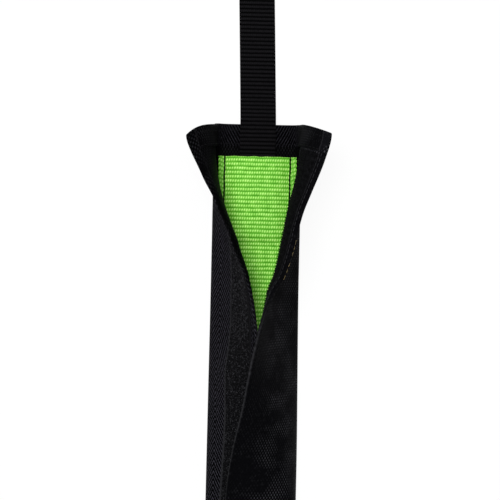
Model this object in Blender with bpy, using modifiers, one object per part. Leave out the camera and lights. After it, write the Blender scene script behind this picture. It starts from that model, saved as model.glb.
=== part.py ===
"""Protector sleeve for climbing and rescue gear, lying on its back with its mouth peeled open.

A long cloth sleeve: a flat back, a flap folded up from each side, and a hook and loop
closing. The mouth end is peeled open, so both flaps stand up there like a collar. A tape of
wear webbing lines the back, and a strap with a sewn eye leaves the mouth.

Axes: +X to the right, +Y from the sleeve towards the strap's eye, +Z up. The origin is the
middle of the back's underside. "Down the sleeve" below is the distance from the mouth's top
edge, and "across" is the distance from a flap's fold, measured along the cloth. A lean is the
angle between the cloth and the level, 0 lying inwards and 90 standing up.
"""

import math

import bmesh
import bpy
import numpy as np
from mathutils import Vector

COLLECTION = "rope_protector_sleeve"

# Sleeve
SLEEVE_LENGTH = 0.500
SLEEVE_WIDTH = 0.0505
CLOTH = 0.0011
CLEARANCE = 0.0003
CHANNEL_HEIGHT = 0.0115

# Flaps
LEFT_FLAP_WIDTH = 0.043
RIGHT_FLAP_WIDTH = 0.050
OPEN_LENGTH = 0.250
LEFT_MOUTH_DROP = 0.009
RIGHT_MOUTH_DROP = 0.007
MOUTH_DROP_POWER = 3.5
FOLD_REACH = 0.006
FOLD_LEAN = 88.0
SIDE_RISE = 0.001
CORNER_RADIUS = 0.010

# Wear webbing
WEBBING_WIDTH = 0.044
WEBBING_THICKNESS = 0.0016
WEBBING_INSET = 0.018
DRAPE_MARGIN = 0.001
DRAPE_RUN = 0.007

# Hook and loop tapes
TAPE_WIDTH = 0.020
TAPE_THICKNESS = 0.0010
TAPE_INSET = 0.013
LOOP_TAPE_START = 0.0175
TAPE_TO_HEM = 0.0006

# Hems
HEM_WIDTH = 0.004
TOP_HEM_WIDTH = 0.012
HEM_THICKNESS = 0.0008
HEM_SETBACK = 0.0002
HEM_SIDE_INSET = 0.003

# Strap
STRAP_WIDTH = 0.020
STRAP_THICKNESS = 0.0016
STRAP_TAIL = 0.043
STRAP_HINGE_REACH = 0.001
STRAP_FALL = 0.016
STRAP_RISE_RUN = 0.003
STRAP_LENGTH = 0.106
LAP_LENGTH = 0.022
LAP_TO_EYE = 0.002
EYE_LENGTH = 0.030
EYE_RADIUS = 0.0046

# Faceting
OPEN_ROWS = 30
CLOSED_ROWS = 8
FLAP_COLUMNS = 14
TAPE_COLUMNS = 6
SECTION_STEPS = 240
NORMAL_STEP_SHARE = 0.002
RIBBON_STEPS = 10
ARC_STEPS = 12

# Each row: share of the open length, then the cloth's lean in degrees at the fold, the middle
# and the free edge.
RIGHT_LEAN_SHARES = (
    (0.000, 90, 104, 148),
    (0.064, 81, 100, 142),
    (0.136, 71, 92, 132),
    (0.184, 63, 86, 130),
    (0.224, 59, 82, 129),
    (0.260, 55, 78, 133),
    (0.328, 50, 70, 130),
    (0.372, 49, 61, 122),
    (0.424, 50, 58, 98),
    (0.468, 51, 57, 80),
    (0.508, 55, 57, 66),
    (0.588, 63, 55, 43),
    (0.700, 73, 48, 15),
    (0.832, 76, 36, -10),
    (1.000, 76, 22, -24),
)
LEFT_LEAN_SHARES = (
    (0.000, 90, 107, 152),
    (0.088, 79, 97, 130),
    (0.156, 65, 87, 110),
    (0.220, 53, 72, 112),
    (0.264, 47, 62, 119),
    (0.328, 44, 52, 86),
    (0.384, 46, 52, 58),
    (0.452, 50, 51, 46),
    (0.490, 53, 56, 30),
    (0.540, 57, 53, 16),
    (0.600, 60, 42, -6),
    (0.680, 62, 30, -12),
    (0.760, 66, 22, -20),
    (1.000, 72, 14, -22),
)
CLOSING_SHARE = 0.6

# Places that follow from the sizes above
MOUTH_Y = SLEEVE_LENGTH / 2
FOLD_X = SLEEVE_WIDTH / 2 - CLOTH / 2
FOLD_Z = CLOTH / 2
BACK_HALF_WIDTH = FOLD_X - CLOTH / 2 - CLEARANCE
LINER_Z = CLOTH + CLEARANCE
STACK = CLOTH + 2 * TAPE_THICKNESS + 3 * CLEARANCE
TAPE_LIFT = CLOTH / 2 + CLEARANCE + TAPE_THICKNESS / 2
HEM_LIFT = CLOTH / 2 + CLEARANCE + HEM_THICKNESS / 2
HOOK_TAPE_START = RIGHT_FLAP_WIDTH - HEM_SETBACK - HEM_WIDTH - TAPE_TO_HEM - TAPE_WIDTH
LINER_STRAP_Z = LINER_Z + STRAP_THICKNESS / 2
OVER_HEM_Z = LINER_Z + HEM_THICKNESS + CLEARANCE + STRAP_THICKNESS / 2
HINGE_Y = MOUTH_Y + STRAP_HINGE_REACH
HINGE_Z = OVER_HEM_Z + STRAP_THICKNESS / 2
TABLE_STRAP_Z = STRAP_THICKNESS / 2
LAP_Z = TABLE_STRAP_Z + STRAP_THICKNESS + CLEARANCE
STRAP_END_Y = HINGE_Y + STRAP_LENGTH
WEBBING_RAISE = STRAP_THICKNESS + CLEARANCE

INWARDS = -1
OUTWARDS = 1

BLACK_CLOTH = (0.012, 0.012, 0.014)
BLACK_TAPE = (0.008, 0.008, 0.009)
BLACK_STRAP = (0.010, 0.009, 0.010)
GREEN_WEBBING = (0.22, 0.53, 0.07)
CLOTH_ROUGHNESS = 0.85
TAPE_ROUGHNESS = 0.95
STRAP_ROUGHNESS = 0.7
WEBBING_ROUGHNESS = 0.6


def clear_scene():
    for obj in list(bpy.data.objects):
        bpy.data.objects.remove(obj, do_unlink=True)


def make_collection(name):
    collection = bpy.data.collections.new(name)
    bpy.context.scene.collection.children.link(collection)
    return collection


def make_material(name, colour, roughness):
    material = bpy.data.materials.new(name)
    material.use_nodes = True
    shader = material.node_tree.nodes["Principled BSDF"]
    shader.inputs["Base Color"].default_value = (*colour, 1.0)
    shader.inputs["Roughness"].default_value = roughness
    shader.inputs["Metallic"].default_value = 0.0
    return material


def smooth_step(share):
    share = np.clip(share, 0.0, 1.0)
    return share * share * (3.0 - 2.0 * share)


class Flap:
    """One side flap: where a point of its cloth lies, from the distances down and across."""

    def __init__(self, side, width, mouth_drop, lean_shares):
        self.side = side
        self.width = width
        self.mouth_drop = mouth_drop
        self.stations = np.array(lean_shares, float)
        self.slopes = self.station_slopes()

    def station_slopes(self):
        """Slopes that keep the leans from overshooting between two stations."""
        steps = np.diff(self.stations, axis=0)
        secants = steps[:, 1:] / steps[:, :1]
        slopes = np.zeros((len(self.stations), 3))
        before, after = secants[:-1], secants[1:]
        same_way = before * after > 0
        inner = 2 * before * after / np.where(same_way, before + after, 1.0)
        slopes[1:-1] = np.where(same_way, inner, 0.0)
        return slopes

    def open_leans(self, share):
        """Leans at the fold, the middle and the free edge, at a share of the open length."""
        places = self.stations[:, 0]
        share = min(max(share, 0.0), 1.0)
        at = min(int(np.searchsorted(places, share, side="right")) - 1, len(places) - 2)
        run = places[at + 1] - places[at]
        u = (share - places[at]) / run
        low, high = self.stations[at, 1:], self.stations[at + 1, 1:]
        ease = u * u * (3 - 2 * u)
        rise = run * (u * (1 - u) ** 2 * self.slopes[at] - u * u * (1 - u) * self.slopes[at + 1])
        return low * (1 - ease) + high * ease + rise

    def closed_leans(self, across):
        """Leans of the closed flap: a short upright side, a round corner and a shallow crown.
        Both crowns have one centre, so the flaps lie parallel where the tapes meet."""
        reach = FOLD_X - CORNER_RADIUS
        crown_top = LINER_Z + WEBBING_THICKNESS + CHANNEL_HEIGHT + CLOTH / 2
        drop = crown_top - FOLD_Z - SIDE_RISE
        crown = (reach**2 + drop**2 - CORNER_RADIUS**2) / (2 * (drop - CORNER_RADIUS))
        centre_z = crown_top - crown
        if self.side > 0:
            crown += STACK
        rise = centre_z + math.sqrt((crown - CORNER_RADIUS) ** 2 - reach**2) - FOLD_Z
        turn = math.acos(reach / (crown - CORNER_RADIUS))
        corner_end = rise + CORNER_RADIUS * turn
        upright = math.pi / 2
        corner = upright - (across - rise) / CORNER_RADIUS
        top = upright - turn - (across - corner_end) / crown
        return np.where(across < rise, upright, np.where(across < corner_end, corner, top))

    def leans(self, down, across):
        share = down / OPEN_LENGTH
        fold, middle, edge = self.open_leans(share)
        u = across / self.width
        opened = fold * (1 - u) * (1 - 2 * u) + middle * 4 * u * (1 - u) + edge * u * (2 * u - 1)
        opened += (FOLD_LEAN - fold) * (1 - smooth_step(across / FOLD_REACH))
        closing = smooth_step((share - CLOSING_SHARE) / (1 - CLOSING_SHARE))
        return np.radians(opened) * (1 - closing) + self.closed_leans(across) * closing

    def section(self, down):
        """Points of the cloth's middle layer across the flap, as (across, x, z)."""
        across = np.linspace(0.0, self.width, SECTION_STEPS + 1)
        leans = self.leans(down, across)
        step = self.width / SECTION_STEPS
        inward = np.concatenate([[0.0], np.cumsum(step * (np.cos(leans[1:]) + np.cos(leans[:-1])) / 2)])
        height = np.concatenate([[0.0], np.cumsum(step * (np.sin(leans[1:]) + np.sin(leans[:-1])) / 2)])
        return across, self.side * (FOLD_X - inward), FOLD_Z + height

    def row(self, down, across):
        """Points at one distance down the sleeve, for an array of distances across."""
        places, x, z = self.section(down)
        fade = (1 - min(down / OPEN_LENGTH, 1.0)) ** 2
        drop = self.mouth_drop * fade * (across / self.width) ** MOUTH_DROP_POWER
        y = MOUTH_Y - down - drop
        return np.stack([np.interp(across, places, x), y, np.interp(across, places, z)], axis=1)

    def lifted_row(self, down, across, lift):
        """The same row, raised off the cloth along its normal; a positive lift is outwards."""
        if lift == 0:
            return self.row(down, across)
        step = SLEEVE_LENGTH * NORMAL_STEP_SHARE
        along = self.row(down + step, across) - self.row(down - step, across)
        low, high = np.maximum(across - step, 0.0), np.minimum(across + step, self.width)
        over = self.row(down, high) - self.row(down, low)
        normal = np.cross(over, along) * self.side
        normal /= np.linalg.norm(normal, axis=1, keepdims=True)
        return self.row(down, across) + lift * normal


RIGHT = Flap(1, RIGHT_FLAP_WIDTH, RIGHT_MOUTH_DROP, RIGHT_LEAN_SHARES)
LEFT = Flap(-1, LEFT_FLAP_WIDTH, LEFT_MOUTH_DROP, LEFT_LEAN_SHARES)


def rows_between(start, end):
    """Distances down the sleeve that every strip shares, so that layers have matching facets."""
    opened = np.linspace(0.0, OPEN_LENGTH, OPEN_ROWS + 1)
    closed = np.linspace(OPEN_LENGTH, SLEEVE_LENGTH, CLOSED_ROWS + 1)[1:]
    inner = [d for d in (*opened, *closed) if start + HEM_WIDTH / 2 < d < end - HEM_WIDTH / 2]
    return [start, *inner, end]


def grid_object(collection, name, points, thickness, material):
    """A sheet through rows of points, thickened evenly to both sides."""
    rows, columns = len(points), len(points[0])
    bm = bmesh.new()
    bmesh.ops.create_grid(bm, x_segments=columns - 1, y_segments=rows - 1, size=1.0)
    for vert in bm.verts:
        column = round((vert.co.x + 1) / 2 * (columns - 1))
        row = round((vert.co.y + 1) / 2 * (rows - 1))
        vert.co = points[row][column]
    mesh = bpy.data.meshes.new(name)
    bm.to_mesh(mesh)
    bm.free()
    obj = bpy.data.objects.new(name, mesh)
    collection.objects.link(obj)
    obj.data.materials.append(material)
    solidify = obj.modifiers.new("thickness", "SOLIDIFY")
    solidify.thickness = thickness
    solidify.offset = 0.0
    solidify.use_even_offset = True
    return obj


def flap_strip(collection, name, flap, down, across, lift, thickness, columns, material):
    """A layer of cloth or tape that follows a flap between two distances down and across."""
    places = np.linspace(across[0], across[1], columns + 1)
    points = [flap.lifted_row(d, places, lift) for d in rows_between(*down)]
    return grid_object(collection, name, points, thickness, material)


def slab(collection, name, low, high, material):
    bm = bmesh.new()
    bmesh.ops.create_cube(bm, size=1.0)
    low, high = Vector(low), Vector(high)
    for vert in bm.verts:
        vert.co = [low[i] + (vert.co[i] + 0.5) * (high[i] - low[i]) for i in range(3)]
    mesh = bpy.data.meshes.new(name)
    bm.to_mesh(mesh)
    bm.free()
    obj = bpy.data.objects.new(name, mesh)
    collection.objects.link(obj)
    obj.data.materials.append(material)
    return obj


def ribbon(collection, name, path, width, thickness, material):
    """A flat strap along a path of (y, z) points, level from side to side."""
    points = [[(side * width / 2, y, z) for side in (-1, 1)] for y, z in path]
    return grid_object(collection, name, points, thickness, material)


def hang_from_axis(collection, name, place, pieces):
    """An empty on a joint's axis, with the pieces that turn about it as its children."""
    axis = bpy.data.objects.new(name, None)
    axis.location = place
    collection.objects.link(axis)
    for piece in pieces:
        for vert in piece.data.vertices:
            vert.co -= Vector(place)
        piece.parent = axis
    return axis


def make_back(collection):
    cloth = make_material("back_cloth", BLACK_CLOTH, CLOTH_ROUGHNESS)
    slab(
        collection,
        "back_panel",
        (-BACK_HALF_WIDTH, MOUTH_Y - SLEEVE_LENGTH, 0),
        (BACK_HALF_WIDTH, MOUTH_Y, CLOTH),
        cloth,
    )
    top = MOUTH_Y - HEM_SETBACK
    bottom = MOUTH_Y - SLEEVE_LENGTH + HEM_SETBACK
    spans = {
        "back_top_hem": (top - TOP_HEM_WIDTH, top),
        "back_bottom_hem": (bottom, bottom + HEM_WIDTH),
    }
    for name, (low, high) in spans.items():
        slab(
            collection,
            name,
            (HEM_SIDE_INSET - BACK_HALF_WIDTH, low, LINER_Z),
            (BACK_HALF_WIDTH - HEM_SIDE_INSET, high, LINER_Z + HEM_THICKNESS),
            cloth.copy(),
        )


def webbing_height(x, down):
    """Middle layer of the webbing, which rises over the strap's tail and drapes beside it."""
    aside = (abs(x) - STRAP_WIDTH / 2 - DRAPE_MARGIN) / DRAPE_RUN
    past = (down - WEBBING_INSET - STRAP_TAIL - DRAPE_MARGIN) / DRAPE_RUN
    raised = (1 - smooth_step(aside)) * (1 - smooth_step(past))
    return LINER_Z + WEBBING_THICKNESS / 2 + WEBBING_RAISE * raised


def make_webbing(collection):
    half = WEBBING_WIDTH / 2
    columns = [half * share for share in np.linspace(-1.0, 1.0, 2 * FLAP_COLUMNS + 1)]
    drape_end = WEBBING_INSET + STRAP_TAIL + DRAPE_MARGIN + DRAPE_RUN
    drape = np.linspace(drape_end - DRAPE_MARGIN - DRAPE_RUN, drape_end, RIBBON_STEPS)
    rows = [WEBBING_INSET, *drape, SLEEVE_LENGTH - WEBBING_INSET]
    points = [[(x, MOUTH_Y - down, webbing_height(x, down)) for x in columns] for down in rows]
    material = make_material("wear_webbing", GREEN_WEBBING, WEBBING_ROUGHNESS)
    grid_object(collection, "wear_webbing", points, WEBBING_THICKNESS, material)


def make_flap(collection, flap, side_name, tape_name, tape_start, tape_face):
    """A flap with its tape, its free edge's hem and a hem at each end, all on one fold axis."""
    cloth = make_material(side_name + "_flap_cloth", BLACK_CLOTH, CLOTH_ROUGHNESS)
    hem_end = flap.width - HEM_SETBACK
    hem_start = hem_end - HEM_WIDTH
    end_span = (HEM_SIDE_INSET, hem_start - CLEARANCE)
    length = SLEEVE_LENGTH
    pieces = [
        flap_strip(
            collection, side_name + "_flap", flap, (0.0, length), (0.0, flap.width),
            0.0, CLOTH, FLAP_COLUMNS, cloth,
        ),
        flap_strip(
            collection, side_name + "_edge_hem", flap,
            (HEM_SETBACK, length - HEM_SETBACK), (hem_start, hem_end),
            INWARDS * HEM_LIFT, HEM_THICKNESS, 2, cloth.copy(),
        ),
        flap_strip(
            collection, side_name + "_top_hem", flap,
            (HEM_SETBACK, HEM_SETBACK + TOP_HEM_WIDTH), end_span,
            INWARDS * HEM_LIFT, HEM_THICKNESS, FLAP_COLUMNS, cloth.copy(),
        ),
        flap_strip(
            collection, side_name + "_bottom_hem", flap,
            (length - HEM_SETBACK - HEM_WIDTH, length - HEM_SETBACK), end_span,
            INWARDS * HEM_LIFT, HEM_THICKNESS, FLAP_COLUMNS, cloth.copy(),
        ),
        flap_strip(
            collection, tape_name, flap,
            (TAPE_INSET, length - TAPE_INSET), (tape_start, tape_start + TAPE_WIDTH),
            tape_face * TAPE_LIFT, TAPE_THICKNESS, TAPE_COLUMNS,
            make_material(tape_name, BLACK_TAPE, TAPE_ROUGHNESS),
        ),
    ]
    hang_from_axis(collection, side_name + "_fold_axis", (flap.side * FOLD_X, 0, FOLD_Z), pieces)


def tail_path():
    """The strap's tail: flat under the webbing, then up over the back's top hem."""
    rise_end = HEM_SETBACK + TOP_HEM_WIDTH + DRAPE_MARGIN
    rise_start = rise_end + STRAP_RISE_RUN
    downs = np.linspace(rise_start, rise_end, RIBBON_STEPS)
    raises = smooth_step((rise_start - downs) / STRAP_RISE_RUN)
    heights = LINER_STRAP_Z + (OVER_HEM_Z - LINER_STRAP_Z) * raises
    rise = list(zip(MOUTH_Y - downs, heights))
    start = (MOUTH_Y - WEBBING_INSET - STRAP_TAIL, LINER_STRAP_Z)
    return [start, *rise, (HINGE_Y - CLEARANCE / 2, OVER_HEM_Z)]


def strap_path():
    """From the hinge the strap falls to the table and lies on it."""
    start = HINGE_Y + CLEARANCE / 2
    shares = np.linspace(0.0, 1.0, RIBBON_STEPS)
    drop = OVER_HEM_Z - TABLE_STRAP_Z
    fall = [(start + STRAP_FALL * u, OVER_HEM_Z - drop * smooth_step(u)) for u in shares]
    return [*fall, (STRAP_END_Y, TABLE_STRAP_Z)]


def eye_path():
    """The strap goes on round the eye and comes back on top of itself, where it is sewn."""
    tip_centre_y = STRAP_END_Y + EYE_LENGTH - EYE_RADIUS
    angles = np.linspace(-math.pi / 2, math.pi / 2, ARC_STEPS + 1)
    centre_z = TABLE_STRAP_Z + EYE_RADIUS
    arc = [
        (tip_centre_y + EYE_RADIUS * math.cos(a), centre_z + EYE_RADIUS * math.sin(a))
        for a in angles
    ]
    top = centre_z + EYE_RADIUS
    run = tip_centre_y - STRAP_END_Y - LAP_TO_EYE
    shares = np.linspace(0.0, 1.0, RIBBON_STEPS)[1:]
    fall = [(tip_centre_y - run * u, top - (top - LAP_Z) * smooth_step(u)) for u in shares]
    first = (STRAP_END_Y + CLEARANCE, TABLE_STRAP_Z)
    return [first, *arc, *fall, (STRAP_END_Y - LAP_LENGTH, LAP_Z)]


def make_strap(collection):
    paths = {"strap_tail": tail_path(), "strap": strap_path(), "strap_eye": eye_path()}
    made = {}
    for name, path in paths.items():
        material = make_material(name, BLACK_STRAP, STRAP_ROUGHNESS)
        made[name] = ribbon(collection, name, path, STRAP_WIDTH, STRAP_THICKNESS, material)
    turning = [made["strap"], made["strap_eye"]]
    hang_from_axis(collection, "strap_fold_axis", (0, HINGE_Y, HINGE_Z), turning)


def main():
    clear_scene()
    collection = make_collection(COLLECTION)
    make_back(collection)
    make_webbing(collection)
    make_flap(collection, LEFT, "left", "loop_tape", LOOP_TAPE_START, OUTWARDS)
    make_flap(collection, RIGHT, "right", "hook_tape", HOOK_TAPE_START, INWARDS)
    make_strap(collection)


main()
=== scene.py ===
# Protector sleeve with its mouth peeled open: cloth, tapes, webbing and thread.
from math import acos, copysign, cos, exp, pi, radians, sin, sqrt

import bmesh
import bpy
import numpy as np
from mathutils import Matrix, Vector, noise


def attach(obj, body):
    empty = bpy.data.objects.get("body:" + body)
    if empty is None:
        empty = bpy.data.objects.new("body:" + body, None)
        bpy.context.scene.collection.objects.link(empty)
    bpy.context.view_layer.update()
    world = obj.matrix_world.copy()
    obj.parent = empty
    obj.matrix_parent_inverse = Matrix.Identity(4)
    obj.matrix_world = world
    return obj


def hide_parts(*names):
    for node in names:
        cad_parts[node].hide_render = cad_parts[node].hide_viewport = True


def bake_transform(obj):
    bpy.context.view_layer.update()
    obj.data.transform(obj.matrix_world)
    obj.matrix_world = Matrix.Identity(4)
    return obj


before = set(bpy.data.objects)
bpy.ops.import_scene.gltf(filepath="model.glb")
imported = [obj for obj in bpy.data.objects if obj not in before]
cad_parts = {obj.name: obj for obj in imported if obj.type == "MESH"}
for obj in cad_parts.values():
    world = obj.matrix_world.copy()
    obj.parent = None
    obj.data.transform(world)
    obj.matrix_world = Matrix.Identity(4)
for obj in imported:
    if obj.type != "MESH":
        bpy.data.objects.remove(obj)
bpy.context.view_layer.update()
print("sleeve: frame loaded")

for leftover in ("Cube", "Light", "Camera"):
    if leftover in bpy.data.objects:
        bpy.data.objects.remove(bpy.data.objects[leftover], do_unlink=True)


class Settings(dict):
    # a dictionary whose values are also read by name, as in webbing.width
    __getattr__ = dict.__getitem__


# camera and light
shot = Settings(
    place=(-0.0031, 0.1789, 1.1),
    roll=1.3,               # degrees
    lens=139.0,             # mm
    sensor=36.0, clipStart=0.01,
)


def makeCamera():
    data = bpy.data.cameras.new("shotCamera")
    data.type = "PERSP"
    data.lens = shot.lens
    data.sensor_width = shot.sensor
    data.clip_start = shot.clipStart
    data.dof.use_dof = False
    camera = addObject("shotCamera", data)
    camera.location = shot.place
    camera.rotation_euler = (0, 0, radians(shot.roll))
    bpy.context.scene.camera = camera


studio = Settings(
    worldLight=0.34, aimAt=(0, 0.15, 0), keyPlace=(-0.25, 0.5, 1.5), keySize=0.7,
    keyPower=21.5, fillPlace=(0.85, 0.05, 1.3), fillSize=1.0, fillPower=2.5,
    floorSize=6.0, floorTone=0.92,
    floorGlow=0.93,         # share of the floor's white that light and shadow don't change
    floorDrop=0.0003,       # under the stitches and ribs of the underside
)


def makeLamp(kind):
    data = bpy.data.lights.new(kind + "Lamp", "AREA")
    data.shape = "DISK"
    data.size = studio[kind + "Size"]
    data.energy = studio[kind + "Power"]
    lamp = addObject(kind + "Lamp", data)
    lamp.location = studio[kind + "Place"]
    aim = Vector(studio.aimAt) - lamp.location
    lamp.rotation_euler = aim.to_track_quat("-Z", "Y").to_euler()


def link(output, socket):
    output.id_data.links.new(output, socket)


def seenRays(tree):
    # 1 where the camera, a reflection or a view through glass sees the surface
    path = tree.nodes.new("ShaderNodeLightPath")
    seen = calc("MAXIMUM", path.outputs["Is Camera Ray"], path.outputs["Is Glossy Ray"])
    return calc("MAXIMUM", seen, path.outputs["Is Transmission Ray"])


def mixShaders(share, first, second, output):
    tree = share.id_data
    mix = tree.nodes.new("ShaderNodeMixShader")
    link(share, mix.inputs["Fac"])
    link(first.outputs[0], mix.inputs[1])
    link(second.outputs[0], mix.inputs[2])
    link(mix.outputs[0], tree.nodes[output].inputs["Surface"])


def makeWorld():
    world = bpy.data.worlds.new("studioWorld")
    bpy.context.scene.world = world
    world.use_nodes = True
    tree = world.node_tree
    light = tree.nodes["Background"]
    white = tree.nodes.new("ShaderNodeBackground")
    for shader, strength in ((light, studio.worldLight), (white, 1.0)):
        shader.inputs["Color"].default_value = (1, 1, 1, 1)
        shader.inputs["Strength"].default_value = strength
    mixShaders(seenRays(tree), light, white, "World Output")


def makeFloor():
    bm = bmesh.new()
    bmesh.ops.create_grid(
        bm, x_segments=1, y_segments=1, size=studio.floorSize / 2,
        matrix=Matrix.Translation((0, 0, -studio.floorDrop)),
    )
    floor = addObject("floor", meshFrom("floor", bm))
    material, shader = newMaterial("paleFloor", 1.0, 0.0)
    shader.inputs["Base Color"].default_value = (*[studio.floorTone] * 3, 1)
    tree = material.node_tree
    white = tree.nodes.new("ShaderNodeEmission")
    share = times(seenRays(tree), studio.floorGlow)
    mixShaders(share, shader, white, "Material Output")
    floor.data.materials.append(material)


def meshFrom(name, bm):
    mesh = bpy.data.meshes.new(name)
    bm.to_mesh(mesh)
    bm.free()
    return mesh


def addObject(name, data):
    made = bpy.data.objects.new(name, data)
    bpy.context.scene.collection.objects.link(made)
    return made


def gridPiece(name, points, across, along, materials, worn=None, flipped=False):
    # points: rows by columns by 3; across and along: metres on the cloth, for its weave
    rows, columns = points.shape[:2]
    bm = bmesh.new()
    bmesh.ops.create_grid(bm, x_segments=columns - 1, y_segments=rows - 1, size=1.0)
    weave = bm.loops.layers.uv.new("weave")
    wearAndHighlightLayer = bm.verts.layers.float.new("worn")
    for vert in bm.verts:
        column = round((vert.co.x + 1) / 2 * (columns - 1))
        row = round((vert.co.y + 1) / 2 * (rows - 1))
        vert.co = points[row, column]
        if worn is not None:
            vert[wearAndHighlightLayer] = worn[row, column]
        for loop in vert.link_loops:
            loop[weave].uv = (across[column], along[row])
    if flipped:
        bmesh.ops.reverse_faces(bm, faces=bm.faces)
    made = addObject(name, meshFrom(name, bm))
    for material in materials:
        made.data.materials.append(material)
    return made


def thicken(piece, thickness, innerSlot=0, even=True, sharpFrom=50):
    # half to each side of the mesh; innerSlot steps on to the inner face's material
    solid = piece.modifiers.new("thickness", "SOLIDIFY")
    solid.thickness = thickness
    solid.offset = 0.0
    solid.use_even_offset = even
    solid.material_offset = innerSlot
    graph = bpy.context.evaluated_depsgraph_get()
    mesh = bpy.data.meshes.new_from_object(piece.evaluated_get(graph))
    piece.modifiers.clear()
    flat = piece.data
    piece.data = mesh
    bpy.data.meshes.remove(flat)
    bm = bmesh.new()
    bm.from_mesh(mesh)
    bmesh.ops.recalc_face_normals(bm, faces=bm.faces)
    bm.to_mesh(mesh)
    bm.free()
    mesh.shade_smooth()
    mesh.set_sharp_from_angle(angle=radians(sharpFrom))


def scatterPiece(name, template, places, material, body, blended=False):
    # one piece of many small copies; each place is a matrix
    bm = bmesh.new()
    for place in places:
        template.transform(place)
        bm.from_mesh(template)
        template.transform(place.inverted())
    bpy.data.meshes.remove(template)
    made = addObject(name, meshFrom(name, bm))
    made.data.shade_smooth()
    made.data.materials.append(material)
    if blended:
        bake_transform(made)
    else:
        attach(made, body)
    return made


def placeMatrix(at, direction, normal, scale=(1, 1, 1)):
    # x along the direction, z along the normal
    x = Vector(direction).normalized()
    z = Vector(normal)
    z = (z - x * z.dot(x)).normalized()
    y = z.cross(x)
    turned = Matrix((x, y, z)).transposed().to_4x4()
    return Matrix.Translation(Vector(at)) @ turned @ Matrix.Diagonal((*scale, 1))


def newMaterial(name, roughness, specular, sheen=0.0, sheenTint=(1, 1, 1), sheenRoughness=0.4):
    material = bpy.data.materials.new(name)
    material.use_nodes = True
    shader = material.node_tree.nodes["Principled BSDF"]
    shader.inputs["Roughness"].default_value = roughness
    shader.inputs["Specular IOR Level"].default_value = specular
    shader.inputs["Sheen Weight"].default_value = sheen
    shader.inputs["Sheen Roughness"].default_value = sheenRoughness
    shader.inputs["Sheen Tint"].default_value = (*sheenTint, 1)
    return material, shader


def calc(operation, *values):
    # a maths node; its values are numbers or sockets, at least one of them a socket
    linked = [value for value in values if not isinstance(value, (int, float))]
    node = linked[0].id_data.nodes.new("ShaderNodeMath")
    node.operation = operation
    for socket, value in zip(node.inputs, values):
        if value in linked:
            link(value, socket)
        else:
            socket.default_value = value
    return node.outputs[0]


def times(first, second):
    return calc("MULTIPLY", first, second)


def scaled(value, span):
    # span: what the value is multiplied by, and what is added
    return calc("MULTIPLY_ADD", value, *span)


def weaveAxes(shader):
    nodes = shader.id_data.nodes
    source = nodes.new("ShaderNodeUVMap")
    source.uv_map = "weave"
    split = nodes.new("ShaderNodeSeparateXYZ")
    link(source.outputs["UV"], split.inputs[0])
    return source.outputs["UV"], split.outputs["X"], split.outputs["Y"]


def mixColour(share, colour, other):
    mix = share.id_data.nodes.new("ShaderNodeMix")
    mix.data_type = "RGBA"
    link(share, mix.inputs["Factor"])
    link(colour, mix.inputs["A"])
    mix.inputs["B"].default_value = (*other, 1)
    return mix.outputs["Result"]


def colourRamp(value, places, colours):
    ramp = value.id_data.nodes.new("ShaderNodeValToRGB")
    bar = ramp.color_ramp
    while len(bar.elements) < len(places):
        bar.elements.new(0.5)
    for element, at, colour in zip(bar.elements, places, colours):
        element.position = at
        element.color = (*colour, 1)
    link(value, ramp.inputs["Fac"])
    return ramp.outputs["Color"]


def dress(shader, colour, height, distance):
    # the colour and the relief of a surface
    link(colour, shader.inputs["Base Color"])
    bump = shader.id_data.nodes.new("ShaderNodeBump")
    bump.inputs["Distance"].default_value = distance
    link(height, bump.inputs["Height"])
    link(bump.outputs["Normal"], shader.inputs["Normal"])


def fineNoise(vector, scale, detail=2.0):
    made = vector.id_data.nodes.new("ShaderNodeTexNoise")
    made.inputs["Scale"].default_value = scale
    made.inputs["Detail"].default_value = detail
    link(vector, made.inputs["Vector"])
    return made.outputs["Fac"]


def wave(value, pitch, shift=0.0):
    # 0 to 1, once each pitch
    turns = calc("MULTIPLY_ADD", value, 2 * pi / pitch, shift)
    return calc("MULTIPLY_ADD", calc("SINE", turns), 0.5, 0.5)


# cloth materials
# each span is a gain and an offset; a finish is roughness, specular and sheen
paleGrain = (1.4, -0.15)

herringbone = Settings(
    apex=0.0338,            # metres from the back's middle line
    halfBand=0.012, slope=1.77, pitch=0.003, yarnPitch=0.00062, yarnSpan=(0.45, 0.6),
    mottleScale=900.0, mottleSpan=(1.4, 0.3), stops=(0.34, 0.56, 0.92),
    dark=(0.0002, 0.0002, 0.0004), middle=(0.0014, 0.0014, 0.002),
    light=(0.047, 0.045, 0.057), worn=(0.015, 0.015, 0.017), finish=(0.62, 0.008, 0.003),
    roughSpan=(-0.2, 0.72), bump=0.0003,
)


def finishCloth(shader, look, tone, height, grain, brightness):
    steps = ("dark", "middle", "light")
    colours = [tuple(brightness * c for c in look[step]) for step in steps]
    colour = colourRamp(tone, look.stops, colours)
    # paler where the cloth is worn at the mouth and the fold, and painted highlights along the
    # closed free edge and the hems' edges, where the rolled edges catch light
    where = shader.id_data.nodes.new("ShaderNodeAttribute")
    where.attribute_name = "worn"
    share = times(where.outputs["Fac"], scaled(grain, paleGrain))
    colour = mixColour(share, colour, look.worn)
    link(scaled(height, look.roughSpan), shader.inputs["Roughness"])
    dress(shader, colour, height, look.bump)


def herringboneCloth(name, brightness=1.0):
    look = herringbone
    material, shader = newMaterial(name, *look.finish)
    uv, u, v = weaveAxes(shader)
    aside = calc("PINGPONG", calc("SUBTRACT", u, look.apex), look.halfBand)
    fall = times(aside, -look.slope)
    twill = wave(calc("ADD", v, fall), look.pitch)
    yarn = wave(u, look.yarnPitch)
    mottle = fineNoise(uv, look.mottleScale)
    height = times(twill, scaled(yarn, look.yarnSpan))
    tone = times(height, scaled(mottle, look.mottleSpan))
    finishCloth(shader, look, tone, height, mottle, brightness)
    return material


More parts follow.
